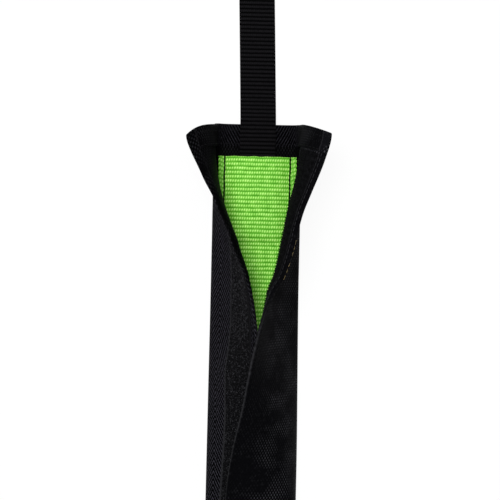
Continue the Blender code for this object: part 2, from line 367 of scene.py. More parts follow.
plainWeave = Settings(
    pitchAcross=0.00171, pitchAlong=0.00285, mottleScale=500.0, mottleSpan=(0.35, 0.2),
    patchScale=60.0,        # the dots show in patches
    patchSpan=(5.4, -2.15), leastDots=0.04, stops=(0.02, 0.4, 0.95),
    dark=(0.0005, 0.0005, 0.0007), middle=(0.0019, 0.0019, 0.0024),
    light=(0.033, 0.033, 0.037), worn=(0.03, 0.03, 0.033), finish=(0.6, 0.008, 0.003),
    roughSpan=(-0.15, 0.66), bump=0.00018,
    flatEdge=0.0745,        # the dots are pressed flat near the right flap's free edge
    flatFrom=0.01, flatTo=0.021, flatDots=0.2,
)


def plainCloth(name, brightness=1.0, pressed=False):
    look = plainWeave
    material, shader = newMaterial(name, *look.finish)
    uv, u, v = weaveAxes(shader)
    over = wave(u, look.pitchAcross)
    under = wave(v, look.pitchAlong)
    same = times(over, under)
    other = times(calc("SUBTRACT", 1.0, over), calc("SUBTRACT", 1.0, under))
    height = calc("ADD", same, other)
    mottle = fineNoise(uv, look.mottleScale)
    patch = scaled(fineNoise(uv, look.patchScale), look.patchSpan)
    contrast = calc("MAXIMUM", patch, look.leastDots)
    if pressed:
        inwards = calc("SUBTRACT", look.flatEdge, u)
        raised = inwards.id_data.nodes.new("ShaderNodeMapRange")
        raised.inputs["From Min"].default_value = look.flatFrom
        raised.inputs["From Max"].default_value = look.flatTo
        raised.inputs["To Min"].default_value = look.flatDots
        link(inwards, raised.inputs["Value"])
        contrast = times(contrast, raised.outputs[0])
    dots = times(calc("SUBTRACT", height, 0.5), contrast)
    tone = calc("ADD", scaled(mottle, look.mottleSpan), dots)
    finishCloth(shader, look, tone, height, mottle, brightness)
    return material


pile = Settings(
    dark=(0.001, 0.001, 0.0012), light=(0.0085, 0.0085, 0.0095),
    hookDark=(0.0016, 0.0016, 0.0018), hookLight=(0.007, 0.007, 0.008),
    stops=(0.38, 0.68), finish=(0.85, 0.012, 0.006), bump=0.0004,
    yarn=(0.027, 0.027, 0.03), barb=(0.005, 0.005, 0.0056),
    selvedge=(0.023, 0.023, 0.0255), selvedgePitch=0.0008, selvedgeSpan=(0.6, 0.35),
    sideSpan=(0.75, 0.25),  # the edge near the fold shows most
)


def pileTape(name, scale, dark, light, start=None):
    material, shader = newMaterial(name, *pile.finish)
    uv, u, v = weaveAxes(shader)
    fuzz = fineNoise(uv, scale, 4.0)
    colour = colourRamp(fuzz, pile.stops, (dark, light))
    if start is not None:
        # a woven edge on each side, without pile
        inner = calc("PINGPONG", calc("SUBTRACT", u, start), tape.width / 2)
        edge = calc("LESS_THAN", inner, tape.selvedge)
        side = calc("LESS_THAN", u, start + tape.width / 2)
        edge = times(edge, scaled(side, pile.sideSpan))
        grain = wave(v, pile.selvedgePitch)
        share = times(edge, scaled(grain, pile.selvedgeSpan))
        colour = mixColour(share, colour, pile.selvedge)
    dress(shader, colour, fuzz, pile.bump)
    return material


spun = Settings(
    specular=0.012, sheen=0.003, stops=(0.35, 0.65), bump=0.0001,
)


def threadMaterial(name, colour, roughness=0.55, scale=2500.0, spread=(0.6, 1.3)):
    # darker and lighter along its length, by the two shares of the spread
    material, shader = newMaterial(name, roughness, spun.specular, spun.sheen)
    where = shader.id_data.nodes.new("ShaderNodeTexCoord")
    grain = fineNoise(where.outputs["Object"], scale, 3.0)
    colours = [tuple(share * c for c in colour) for share in spread]
    ramp = colourRamp(grain, spun.stops, colours)
    dress(shader, ramp, grain, spun.bump)
    return material


# the sleeve's form
sleeve = Settings(
    mouthY=0.25, length=0.5, foldX=0.0247, foldZ=0.00055, openLength=0.25,
    foldReach=0.006, foldLean=88.0, sideRise=0.001, cornerRadius=0.01, crownTop=0.01505,
    crownGap=0.004, closingShare=0.6, foldRadius=0.0022, foldPoints=9, foldMargin=0.0002,
    mouthRadius=0.0085,     # the fold opens into a soft bend at the mouth
    mouthReach=0.025, tipReach=0.006, spreadFade=(0.08, 0.12),
    sectionPoints=241, rowStep=0.00125, columnStep=0.0004, smoothings=2,
)

# leans: share of the open length, then the cloth's lean in degrees at the fold, middle and edge
rightFlap = Settings(
    side=1, body="right_side", width=0.05,
    slant=0.001,            # how far the mouth's edge falls back over the flap's width
    corner=0.0056,          # and how far more at its rounded corner
    cornerPower=3.0,
    spread=0.0011,          # how much further out the fold lies in the closed length
    hemRub=1.0,             # painted highlight on the folded-in edges of the hems: how pale they are painted where they catch light
    tip=0.0,
    leans=(
        (0.000, 90, 104, 148), (0.064, 81, 100, 142), (0.136, 71, 92, 132),
        (0.184, 63, 86, 130), (0.224, 59, 82.3, 129), (0.26, 55, 79.3, 131),
        (0.328, 50, 72, 127), (0.372, 49, 63.3, 119), (0.424, 50, 60.3, 98),
        (0.468, 51, 59, 81), (0.508, 54, 58, 67), (0.588, 62.5, 55.3, 43),
        (0.7, 73, 50, 17), (0.832, 76, 43, -5), (1.000, 76, 22, -24),
    ),
)
leftFlap = Settings(
    side=-1, body="left_side", width=0.043, slant=0.0033, corner=0.0055, cornerPower=9.0,
    spread=0.0002, hemRub=0.4,
    tip=0.0009,             # how far the corner's tip stands out
    leans=(
        (0.000, 90, 105, 151), (0.088, 79, 95, 129), (0.156, 65, 85, 109),
        (0.22, 53, 72.3, 112), (0.264, 45, 62.7, 119), (0.328, 38, 54.5, 95),
        (0.384, 35, 52, 76), (0.452, 34, 50, 61), (0.49, 36, 51, 46),
        (0.54, 46, 51, 24), (0.6, 56, 42, 0), (0.68, 62, 30, -12),
        (0.76, 66, 22, -20), (1.000, 72, 14, -22),
    ),
)

creases = Settings(
    long=0.00045,           # height of long soft waves in the peeled flaps
    longSize=0.03, short=0.00016, shortSize=0.009, closedShare=0.45, closingFade=(0.12, 0.1),
    foldFade=(0.002, 0.014),
)


def smoothStep(share):
    share = np.clip(share, 0.0, 1.0)
    return share * share * (3.0 - 2.0 * share)


def eased(value, fade):
    # 0 to 1; a fade is where it starts and how long it takes
    return smoothStep((value - fade[0]) / fade[1])


def unit(vectors):
    return vectors / np.linalg.norm(vectors, axis=-1, keepdims=True)


def runningSum(values, step):
    return np.concatenate([[0.0], np.cumsum(step * (values[1:] + values[:-1]) / 2)])


class ClothHalf:
    # Half of the sleeve's cloth: from the back's middle line, round the fold and up the flap.
    # A point is named by its distance down from the mouth and its distance over from the middle.

    def __init__(self, flap):
        self.flap = flap
        self.side = flap.side
        self.body = flap.body
        self.width = flap.width
        self.stations = np.array(flap.leans, float)
        self.slopes = self.stationSlopes()
        self.cornerStart = sleeve.foldX - sleeve.foldRadius
        self.cornerEnd = self.cornerStart + sleeve.foldRadius * pi / 2
        self.flapStart = self.cornerEnd - sleeve.foldRadius
        self.edge = self.flapStart + self.width
        self.makeLattice()

    def stationSlopes(self):
        steps = np.diff(self.stations, axis=0)
        secants = steps[:, 1:] / steps[:, :1]
        slopes = np.zeros((len(self.stations), 3))
        before, after = secants[:-1], secants[1:]
        sameWay = before * after > 0
        inner = 2 * before * after / np.where(sameWay, before + after, 1.0)
        slopes[1:-1] = np.where(sameWay, inner, 0.0)
        return slopes

    def openLeans(self, share):
        places = self.stations[:, 0]
        share = min(max(share, 0.0), 1.0)
        at = min(int(np.searchsorted(places, share, side="right")) - 1, len(places) - 2)
        run = places[at + 1] - places[at]
        u = (share - places[at]) / run
        low, high = self.stations[at, 1:], self.stations[at + 1, 1:]
        ease = u * u * (3 - 2 * u)
        rise = run * (u * (1 - u) ** 2 * self.slopes[at] - u * u * (1 - u) * self.slopes[at + 1])
        return low * (1 - ease) + high * ease + rise

    def closedLeans(self, across):
        corner = sleeve.cornerRadius
        reach = sleeve.foldX - corner
        drop = sleeve.crownTop - sleeve.foldZ - sleeve.sideRise
        crown = (reach**2 + drop**2 - corner**2) / (2 * (drop - corner))
        centreZ = sleeve.crownTop - crown
        if self.side > 0:
            crown += sleeve.crownGap
        rise = centreZ + sqrt((crown - corner) ** 2 - reach**2) - sleeve.foldZ
        turn = acos(reach / (crown - corner))
        cornerEnd = rise + corner * turn
        upright = pi / 2
        bend = upright - (across - rise) / corner
        top = upright - turn - (across - cornerEnd) / crown
        return np.where(across < rise, upright, np.where(across < cornerEnd, bend, top))

    def section(self, down):
        across = np.linspace(0.0, self.width, sleeve.sectionPoints)
        share = down / sleeve.openLength
        fold, middle, edge = self.openLeans(share)
        u = across / self.width
        opened = fold * (1 - u) * (1 - 2 * u) + middle * 4 * u * (1 - u) + edge * u * (2 * u - 1)
        opened += (sleeve.foldLean - fold) * (1 - smoothStep(across / sleeve.foldReach))
        closing = smoothStep((share - sleeve.closingShare) / (1 - sleeve.closingShare))
        leans = np.radians(opened) * (1 - closing) + self.closedLeans(across) * closing
        inward = runningSum(np.cos(leans), across[1])
        height = runningSum(np.sin(leans), across[1])
        return across, sleeve.foldX - inward, sleeve.foldZ + height

    def makeLattice(self):
        self.downs = np.arange(0, sleeve.length + 1e-9, sleeve.rowStep)
        self.overs = np.arange(0, self.edge + sleeve.columnStep, sleeve.columnStep)
        foldX, foldZ = sleeve.foldX, sleeve.foldZ
        turns = np.linspace(0, pi / 2, sleeve.foldPoints)
        reach = np.clip((self.overs - self.flapStart) / self.width, 0, None)
        corner = reach ** self.flap.cornerPower
        drop = self.flap.slant * reach + self.flap.corner * corner
        lattice = np.zeros((len(self.downs), len(self.overs), 3))
        for row, down in enumerate(self.downs):
            across, x, z = self.section(down)
            opening = 1 - smoothStep(down / sleeve.mouthReach)
            radius = sleeve.foldRadius
            radius += (sleeve.mouthRadius - radius) * opening
            bendX = foldX - radius
            past = across > radius + sleeve.foldMargin
            path = np.concatenate([[0.0], bendX + radius * turns, self.flapStart + across[past]])
            pathX = np.concatenate([[0.0], bendX + radius * np.sin(turns), x[past]])
            pathZ = np.concatenate([[foldZ], foldZ + radius * (1 - np.cos(turns)), z[past]])
            fade = (1 - min(down / sleeve.openLength, 1.0)) ** 2
            spread = eased(down, sleeve.spreadFade)
            tip = self.flap.tip * exp(-((down / sleeve.tipReach) ** 2))
            outwards = np.interp(self.overs, path, pathX)
            outwards *= 1 + self.flap.spread / foldX * spread
            lattice[row, :, 0] = (outwards + tip * corner) * self.side
            lattice[row, :, 1] = sleeve.mouthY - down - fade * drop
            lattice[row, :, 2] = np.interp(self.overs, path, pathZ)
        # carry the last step past the edge
        past = self.overs > self.edge
        if past.any():
            last = int(np.argmax(past))
            lattice[:, last:] = 2 * lattice[:, last - 1: last] - lattice[:, last - 2: last - 1]
        for turn in range(sleeve.smoothings):
            lattice[:, 1:-1] = (lattice[:, :-2] + 2 * lattice[:, 1:-1] + lattice[:, 2:]) / 4
        self.lattice = lattice
        self.normals = self.latticeNormals()
        self.lattice = lattice + self.normals * self.creaseHeights()[..., None]
        self.normals = self.latticeNormals()

    def latticeNormals(self):
        over = np.gradient(self.lattice, axis=1)
        along = np.gradient(self.lattice, axis=0)
        return unit(np.cross(over, along) * self.side)

    def creaseHeights(self):
        # the same waves for both flaps where they lie on each other, none on the back
        heights = np.zeros(self.lattice.shape[:2])
        free = eased(self.overs - self.cornerEnd, creases.foldFade)
        for row, down in enumerate(self.downs):
            peeled = 1 - eased(down, creases.closingFade)
            share = peeled + creases.closedShare * (1 - peeled)
            for column, ease in enumerate(free):
                if ease == 0:
                    continue
                x, y, z = self.lattice[row, column]
                long = noise.noise(Vector((x, y * 0.7, 0.01)) / creases.longSize)
                short = noise.noise(Vector((x, y, 0.5)) / creases.shortSize)
                heights[row, column] = ease * share * (
                    creases.long * long + creases.short * short
                )
        return heights

    def at(self, down, over, lift=0.0):
        # points, with a positive lift outwards, and normals; arrays of one shape
        down, over, lift = np.broadcast_arrays(down, over, lift)
        row = np.clip(down / sleeve.rowStep, 0, len(self.downs) - 1.001)
        column = np.clip(over / sleeve.columnStep, 0, len(self.overs) - 1.001)
        i, j = row.astype(int), column.astype(int)
        f, g = (row - i)[..., None], (column - j)[..., None]
        found = []
        for grid in (self.lattice, self.normals):
            near = grid[i, j] * (1 - g) + grid[i, j + 1] * g
            far = grid[i + 1, j] * (1 - g) + grid[i + 1, j + 1] * g
            found.append(near * (1 - f) + far * f)
        points, normals = found
        normals = unit(normals)
        return points + lift[..., None] * normals, normals


right = ClothHalf(rightFlap)
left = ClothHalf(leftFlap)
print("sleeve: form worked out")


# cloth, with its hems folded in
cloth = Settings(
    thickness=0.0008,
    hemLift=0.00098,        # from the middle of the cloth to the middle of its hem
    mouthHem=0.012, mouthHemRows=6, sideHem=0.004, endHem=0.004, hemRows=4, arcPoints=7,
    openStep=0.0017, closedStep=0.004, backStep=0.0024, foldPoints=7, acrossStep=0.0014,
    # the closed free edge and the hems' edges get painted highlights where rolled edges catch
    # light; the mouth and the fold are paler with wear
    rubWidth=0.00018, rubFade=(0.085, 0.045), mouthRub=0.2, foldRub=0.08,
    foldRubWidth=0.003,
    hemRub=0.12,            # painted highlight on the mouth hem's own edge
    hemRubWidth=0.0007,
    lining=0.4,             # brightness of copies of the cloths: dimmed as painted shade on the lining and the mouth hem, raised as painted light on the right flap's inner face
    mouth=0.5, inner=2.2,
)


def hemSpots(hem, radius, count):
    # distances from the folded edge in to the hem's own edge, the last two close together
    return np.append(np.linspace(radius, hem - cloth.hemRubWidth, count), hem)


def foldedPath(end, hemStart, hemEnd, spots):
    # (distance, lift) pairs: an inner hem at the start, round the edge, to the end and round again
    radius = cloth.hemLift / 2
    arc = np.linspace(0, pi, cloth.arcPoints)
    path = []
    if hemStart:
        hemIn = hemSpots(hemStart, radius, cloth.mouthHemRows)[:0:-1]
        path += [(d, -2 * radius) for d in hemIn]
        path += [(radius - radius * sin(a), -radius - radius * cos(a)) for a in arc]
    else:
        path.append((0.0, 0.0))
    path += [(d, 0.0) for d in spots if 2 * radius < d < end - 2 * radius]
    path += [(end - radius + radius * sin(a), -radius + radius * cos(a)) for a in arc]
    path += [(end - d, -2 * radius) for d in hemSpots(hemEnd, radius, cloth.hemRows)[1:]]
    return np.array(path)


def pathLengths(path):
    steps = np.linalg.norm(np.diff(path, axis=0), axis=1)
    return np.concatenate([[0.0], np.cumsum(steps)])


def wearAndHighlightShares(half, down, over):
    # how far the cloth is painted pale: worn at the mouth and the folds, and painted highlights at
    # the closed edge and the hems' edges, where rolled edges catch light
    shares = np.maximum.reduce([
        np.exp(-(((over - half.edge) / cloth.rubWidth) ** 2))
        * eased(down, cloth.rubFade),
        cloth.mouthRub * np.exp(-((down / cloth.rubWidth) ** 2)),
        cloth.foldRub * np.exp(-(((over - half.cornerEnd) / cloth.foldRubWidth) ** 2)),
    ])
    shares[:, -1] = np.maximum(shares[:, -1], half.flap.hemRub)
    shares[0] = np.maximum(shares[0], cloth.hemRub)
    return shares


def makeClothHalf(name, half, looks, slotName, *replaced):
    length = sleeve.length
    downs = np.concatenate([
        np.arange(0, sleeve.openLength, cloth.openStep),
        np.arange(sleeve.openLength, length, cloth.closedStep),
    ])
    overs = np.unique(np.concatenate([
        np.arange(0, half.cornerStart, cloth.backStep),
        np.linspace(half.cornerStart, half.cornerEnd, cloth.foldPoints),
        np.arange(half.cornerEnd, half.edge, cloth.acrossStep),
    ]))
    rows = foldedPath(length, cloth.mouthHem, cloth.endHem, downs)
    columns = foldedPath(half.edge, 0.0, cloth.sideHem, overs)
    down, over = np.meshgrid(rows[:, 0], columns[:, 0], indexing="ij")
    lift = rows[:, 1][:, None] + columns[:, 1][None, :]
    points = half.at(down, over, lift)[0]
    along = pathLengths(rows)
    along -= along[np.argmax(rows[:, 1] == 0)]
    worn = wearAndHighlightShares(half, down, over)
    piece = gridPiece(name, points, pathLengths(columns), along, looks, worn, half.side < 0)
    # the folded-in cloth shows another weave along the back's mouth and on the flap
    hemEnd = -cloth.hemLift * 0.6
    edgeTurn = half.edge + cloth.hemLift * 0.2
    weave = piece.data.uv_layers["weave"].data
    for face in piece.data.polygons:
        spots = [weave[i].uv for i in face.loop_indices]
        folded = all(spot[1] <= hemEnd for spot in spots)
        if all(spot[0] <= half.cornerEnd for spot in spots):
            face.material_index = 2 if folded else 6
        elif folded or all(spot[0] >= edgeTurn for spot in spots):
            face.material_index = 4
    thicken(piece, cloth.thickness, 1, False)
    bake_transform(piece)
    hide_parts(*replaced)
    return piece


bandCloth = herringboneCloth("herringboneCloth")
# the lining and the mouth hem are darker copies as painted shade, the right flap's inner face a
# brighter copy as painted light
shadedLiningCloth = plainCloth("innerCloth", cloth.lining)
shadedMouthCloth = herringboneCloth("shadedMouthHemCloth", cloth.mouth)
outerCloth = plainCloth("plainCloth", pressed=True)
innerCloth = plainCloth("litInnerPlainCloth", cloth.inner)

# outer and inner face of: the flap, the mouth's hem on the back, the flap's hems, the back
leftLooks = [bandCloth, shadedLiningCloth, shadedMouthCloth, *[shadedLiningCloth] * 3, bandCloth, shadedLiningCloth]
rightLooks = [outerCloth, innerCloth, shadedMouthCloth, innerCloth, outerCloth, innerCloth]
rightLooks += [outerCloth, shadedLiningCloth]
leftCloth = makeClothHalf(
    "leftCloth", left, leftLooks, "herringbone_cloth",
    "left_flap", "left_edge_hem", "left_top_hem", "left_bottom_hem",
)
rightCloth = makeClothHalf(
    "rightCloth", right, rightLooks, "black_cloth",
    "right_flap", "right_edge_hem", "right_top_hem", "right_bottom_hem",
    "back_panel", "back_top_hem", "back_bottom_hem",
)
print("sleeve: cloth folded")


# wear webbing
webbing = Settings(
    width=0.044, inset=0.018, low=0.0014, bed=0.0008, thickness=0.0012, rib=0.00024,
    ribPitch=0.00237, rowsPerRib=5, columns=30, scallop=0.00022,
    scallopFade=(0.9, 0.1),  # shares of the half width
    edgeFade=(0.94, 0.06), edgeDrop=0.0003, wander=0.0003,
    wanderScale=40, fray=0.00035, frayReach=0.0015, frayScale=260, strapRise=0.0019,
    tail=0.043, drapeFade=(0.001, 0.007), strapHalf=0.01, seamInset=0.0034,
    seamDip=0.00035, seamWidth=0.0008, finish=(0.5, 0.1, 0.04, (0.8, 1.0, 0.6)),
    swayScale=90.0, sway=0.0007, selvedgeTilt=(0.45, -0.0072), ridgePower=0.65,
    yarnPitch=0.00137, yarnLean=0.3,
    yarnStep=0.35,          # share of the pitch from rib to rib
    yarnSpan=(0.62, -0.04), yarnHeight=(0.6, 0.4), fibreScale=2200.0, fibres=0.45,
    fibreHeight=0.25, mottleScale=260.0, mottle=0.75, grainLevel=0.52, ridgeTone=0.36,
    stops=(0.06, 0.5, 1.0), groove=(0.07, 0.35, 0.015), body=(0.185, 0.6, 0.046),
    # the edge colour is painted shade on both selvedges, next to the flaps
    ridge=(0.56, 0.95, 0.245), edge=(0.11, 0.4, 0.028), edgeShare=0.3, bump=0.00022,
)


def webbingHeight(x, down):
    aside = np.abs(x) - webbing.strapHalf
    past = down - webbing.inset - webbing.tail
    raised = (1 - eased(aside, webbing.drapeFade)) * (1 - eased(past, webbing.drapeFade))
    return webbing.low + webbing.bed + webbing.strapRise * raised


def webbingCloth():
    look = webbing
    material, shader = newMaterial("ribbedWebbing", *look.finish)
    uv, u, v = weaveAxes(shader)
    sway = fineNoise(uv, look.swayScale, 1.0)
    aside = calc("ABSOLUTE", u)
    outer = calc("GREATER_THAN", aside, look.width / 2 - look.seamInset)
    tilt = times(outer, scaled(aside, look.selvedgeTilt))
    swayed = calc("ADD", scaled(sway, (look.sway, v)), tilt)
    ribs = wave(swayed, look.ribPitch, pi / 2)
    ridge = calc("POWER", ribs, look.ridgePower)
    odd = calc("FLOOR", scaled(swayed, (1 / look.ribPitch, 0.5)))
    step = times(odd, look.yarnStep * look.yarnPitch)
    lean = scaled(v, (look.yarnLean, step))
    yarns = wave(calc("ADD", u, lean), look.yarnPitch)
    fibres = fineNoise(uv, look.fibreScale)
    mottle = fineNoise(uv, look.mottleScale)
    spots = times(ridge, scaled(yarns, look.yarnSpan))
    tone = scaled(ridge, (look.ridgeTone, spots))
    fine = times(fibres, look.fibres)
    grain = scaled(mottle, (look.mottle, fine))
    tone = calc("ADD", tone, calc("SUBTRACT", grain, look.grainLevel))
    colours = [look[name] for name in ("groove", "body", "ridge")]
    colour = colourRamp(tone, look.stops, colours)
    # painted shade: a darker green along both selvedges
    shadedEdges = times(outer, look.edgeShare)
    colour = mixColour(shadedEdges, colour, look.edge)
    height = times(ridge, scaled(yarns, look.yarnHeight))
    dress(shader, colour, scaled(fibres, (look.fibreHeight, height)), look.bump)
    return material


def makeWebbing():
    look = webbing
    length = sleeve.length - 2 * look.inset
    half = look.width / 2
    ribCount = round(length / look.ribPitch)
    rows = np.linspace(0, length, ribCount * look.rowsPerRib + 1)
    columns = half * np.linspace(-1, 1, look.columns + 1)
    along, x = np.meshgrid(rows, columns, indexing="ij")
    phase = 2 * pi * along / (length / ribCount)
    edge = np.abs(x) / half
    ripple = look.scallop * np.cos(phase) * np.sign(x) * eased(edge, look.scallopFade)
    drift = [noise.noise(Vector((0, y * look.wanderScale, 3))) for y in rows]
    wander = np.array(drift)[:, None] * look.wander
    down = look.inset + along
    seam = np.abs(np.abs(x) - (half - look.seamInset))
    dip = look.seamDip * np.exp(-((seam / look.seamWidth) ** 2))
    end = np.minimum(along, length - along)
    loose = [noise.noise(Vector((c * look.frayScale, 9, 1))) for c in columns]
    fray = look.fray * np.exp(-end / look.frayReach) * np.array(loose)[None, :]
    z = webbingHeight(x, down) + look.rib * np.cos(phase) * 0.5 - dip
    z -= look.edgeDrop * eased(edge, look.edgeFade)
    points = np.stack([x + ripple + wander, sleeve.mouthY - down + fray, z], axis=2)
    ribRows = rows * look.ribPitch * ribCount / length
    piece = gridPiece("wearWebbing", points, columns, ribRows, [webbingCloth()])
    thicken(piece, look.thickness)
    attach(piece, "back")
    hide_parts("wear_webbing")
    return piece


wearWebbing = makeWebbing()
print("sleeve: wear webbing laid")


# strap with its eye
strap = Settings(
    width=0.02, thickness=0.0013, rib=0.00016, ribPitch=0.0023, rowsPerRib=6, columns=16,
    edgeFade=(0.9, 0.1),    # shares of the half width
    edgeDrop=0.00025, linePoints=12, eyePoints=16, tailEnd=0.061,
    hemClear=0.0132, riseRun=0.003, lowZ=0.0022, overHemZ=0.0033, tableZ=0.0008,
    hingeY=0.251, fall=0.016, length=0.106, eyeLength=0.03, eyeRadius=0.0046, lap=0.022,
    lapToEye=0.002, lapZ=0.0027,
    askew=0.034,            # how far it runs to the left for each metre out of the mouth
    askewFrom=0.245, askewBend=0.01, finish=(0.55, 0.006), yarnPitch=0.0011,
    yarnLean=0.5, yarnSpan=(0.5, 0.5), grainScale=900.0, grainSpan=(1.0, 0.5),
    stops=(0.15, 0.85), dark=(0.0004, 0.0004, 0.0005), light=(0.0082, 0.0078, 0.0088),
    bump=0.0002,
)


def strapLine():
    # (y, z) points from the tail's end, out of the mouth, round the eye and back to the lap's end
    mouth, hinge, radius = sleeve.mouthY, strap.hingeY, strap.eyeRadius
    low, high = strap.lowZ, strap.overHemZ
    rise, drop = high - low, high - strap.tableZ
    shares = np.linspace(0, 1, strap.linePoints)
    points = [(mouth - strap.tailEnd, low)]
    points += [
        (mouth - strap.hemClear - strap.riseRun * (1 - s), low + rise * smoothStep(s))
        for s in shares
    ]
    points += [(hinge + strap.fall * s, high - drop * smoothStep(s)) for s in shares]
    lapY = hinge + strap.length
    tip = lapY + strap.eyeLength - radius
    centreZ = strap.tableZ + radius
    points += [
        (tip + radius * cos(a), centreZ + radius * sin(a))
        for a in np.linspace(-pi / 2, pi / 2, strap.eyePoints)
    ]
    run = tip - lapY - strap.lapToEye
    top = centreZ + radius
    points += [(tip - run * s, top - (top - strap.lapZ) * smoothStep(s)) for s in shares[1:]]
    points.append((lapY - strap.lap, strap.lapZ))
    return np.array(points, float)


def strapShift(y):
    # the strap runs out of the mouth a little askew, from a soft bend on
    out = np.maximum(y - strap.askewFrom, 0.0)
    return -strap.askew * out * out / (out + strap.askewBend)


def strapCloth():
    look = strap
    material, shader = newMaterial("ribbedStrap", *look.finish)
    uv, u, v = weaveAxes(shader)
    ribs = wave(v, look.ribPitch, pi / 2)
    yarns = wave(scaled(v, (look.yarnLean, u)), look.yarnPitch)
    grain = fineNoise(uv, look.grainScale)
    height = times(ribs, scaled(yarns, look.yarnSpan))
    tone = times(height, scaled(grain, look.grainSpan))
    colour = colourRamp(tone, look.stops, (look.dark, look.light))
    dress(shader, colour, height, look.bump)
    return material


def alongLine(line, step):
    lengths = pathLengths(line)
    count = int(lengths[-1] / step)
    spots = np.linspace(0, lengths[-1], count + 1)
    places = np.stack([np.interp(spots, lengths, line[:, i]) for i in range(2)], axis=1)
    return spots, places, unit(np.gradient(places, axis=0))


def makeStrap():
    line = strapLine()
    spots, places, slopes = alongLine(line, strap.ribPitch / strap.rowsPerRib)
    half = strap.width / 2
    columns = half * np.linspace(-1, 1, strap.columns + 1)
    edge = np.abs(columns) / half
    bump = strap.rib * np.cos(2 * pi * spots / strap.ribPitch)
    drop = strap.edgeDrop * eased(edge, strap.edgeFade)
    lift = bump[:, None] - drop[None, :]
    points = np.zeros((len(spots), len(columns), 3))
    points[..., 0] = columns[None, :] + strapShift(places[:, 0])[:, None]
    points[..., 1] = places[:, 0][:, None] - slopes[:, 1][:, None] * lift
    points[..., 2] = places[:, 1][:, None] + slopes[:, 0][:, None] * lift
    piece = gridPiece("strapWebbing", points, columns, spots, [strapCloth()])
    thicken(piece, strap.thickness)
    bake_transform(piece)
    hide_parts("strap_tail", "strap", "strap_eye")
    return piece, float(spots[-1])


strapWebbing, strapCut = makeStrap()
print("sleeve: strap laid")


# hook tape and loop tape
tape = Settings(
    width=0.02, base=0.00045,
    lift=0.00075,           # from the cloth's middle to the base's middle
    inset=0.013, openStep=0.0025, closedPoints=60, acrossPoints=15, selvedge=0.0012,
    pileStart=0.4,          # share of the base, from its middle out
    loopStart=0.019,
    loopDrift=0.0045,       # the loop tape runs a little towards the fold
    driftFade=(0.13, 0.09), loopCount=9400, loopMargin=0.0008, loopSpan=0.00095,
    loopHeight=0.0006, loopYarn=0.0001, loopRise=0.3, loopSizes=(0.75, 0.5),
    tuftSize=0.0009, hookStart=0.0252, hookMargin=0.001, hookEdges=(0.0018, 0.0016),
    hookPitch=0.00135, hookHeight=0.00055,
    hookStem=0.65,          # share of the height
    hookTurn=0.85,          # share of a half turn
    hookYarn=0.00009,
)


def tapeShift(face, downs):
    drift = tape.loopDrift if face > 0 else 0.0
    return -drift * eased(downs, tape.driftFade)


def makeTapeBase(name, half, start, face, material, node):
    downs = np.concatenate([
        np.arange(tape.inset, sleeve.openLength, tape.openStep),
        np.linspace(sleeve.openLength, sleeve.length - tape.inset, tape.closedPoints),
    ])
    overs = half.flapStart + start + tape.width * np.linspace(0, 1, tape.acrossPoints)
    down, over = np.meshgrid(downs, overs, indexing="ij")
    points = half.at(down, over + tapeShift(face, down), face * tape.lift)[0]
    piece = gridPiece(name, points, overs, downs, [material])
    thicken(piece, tape.base)
    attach(piece, half.body)
    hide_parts(node)
    return piece


def bentRod(name, radius, curve, cuts):
    # a closed three-sided rod bent along a curve of (x, z) for shares 0 to 1
    bm = bmesh.new()
    bmesh.ops.create_cone(
        bm, cap_ends=True, segments=3, radius1=radius, radius2=radius, depth=1.0
    )
    rising = [e for e in bm.edges if abs(e.verts[0].co.z - e.verts[1].co.z) > 0.5]
    bmesh.ops.subdivide_edges(bm, edges=rising, cuts=cuts, use_grid_fill=True)
    for vert in bm.verts:
        share = vert.co.z + 0.5
        x, z = curve(share)
        aheadX, aheadZ = curve(share + 0.01)
        slope = Vector((aheadX - x, 0, aheadZ - z)).normalized()
        across = Vector((slope.z, 0, -slope.x))
        vert.co = Vector((x, 0, z)) + across * vert.co.x + Vector((0, vert.co.y, 0))
    bmesh.ops.recalc_face_normals(bm, faces=bm.faces)
    return meshFrom(name, bm)


def loopCurve(share):
    angle = pi * (1 - share)
    return tape.loopSpan / 2 * cos(angle), tape.loopHeight * sin(angle)


def hookCurve(share):
    # a stem, then a hook bent over
    height, stem = tape.hookHeight, tape.hookStem
    if share < 0.5:
        return 0.0, height * 2 * stem * share
    angle = pi * tape.hookTurn * (share - 0.5) / 0.5
    bend = height * (1 - stem)
    return bend * (1 - cos(angle)), height * stem + bend * sin(angle)


def makeLoops(material):
    dice = np.random.default_rng(7)
    tries = 3 * tape.loopCount
    margin, selvedge = tape.loopMargin, tape.selvedge
    run = sleeve.length - 2 * tape.inset - 2 * margin
    downs = tape.inset + margin + dice.random(tries) * run
    start = left.flapStart + tape.loopStart + selvedge
    overs = start + dice.random(tries) * (tape.width - 2 * selvedge)
    tufts = [noise.noise(Vector((d, o, 0.0)) / tape.tuftSize) for d, o in zip(downs, overs)]
    kept = np.flatnonzero(np.array(tufts) > 0)[:tape.loopCount]
    downs, overs, count = downs[kept], overs[kept], len(kept)
    overs = overs + tapeShift(1, downs)
    points, normals = left.at(downs, overs, tape.lift + tape.base * tape.pileStart)
    turns = dice.random(count) * 2 * pi
    least, spread = tape.loopSizes
    sizes = least + spread * dice.random(count)
    places = []
    for point, normal, turn, size in zip(points, normals, turns, sizes):
        way = Vector((cos(turn), sin(turn), tape.loopRise))
        places.append(placeMatrix(point, way, normal, (size, size, min(size, 1.0))))
    template = bentRod("loopTemplate", tape.loopYarn, loopCurve, 2)
    return scatterPiece("loopTapeLoops", template, places, material, "left_side")


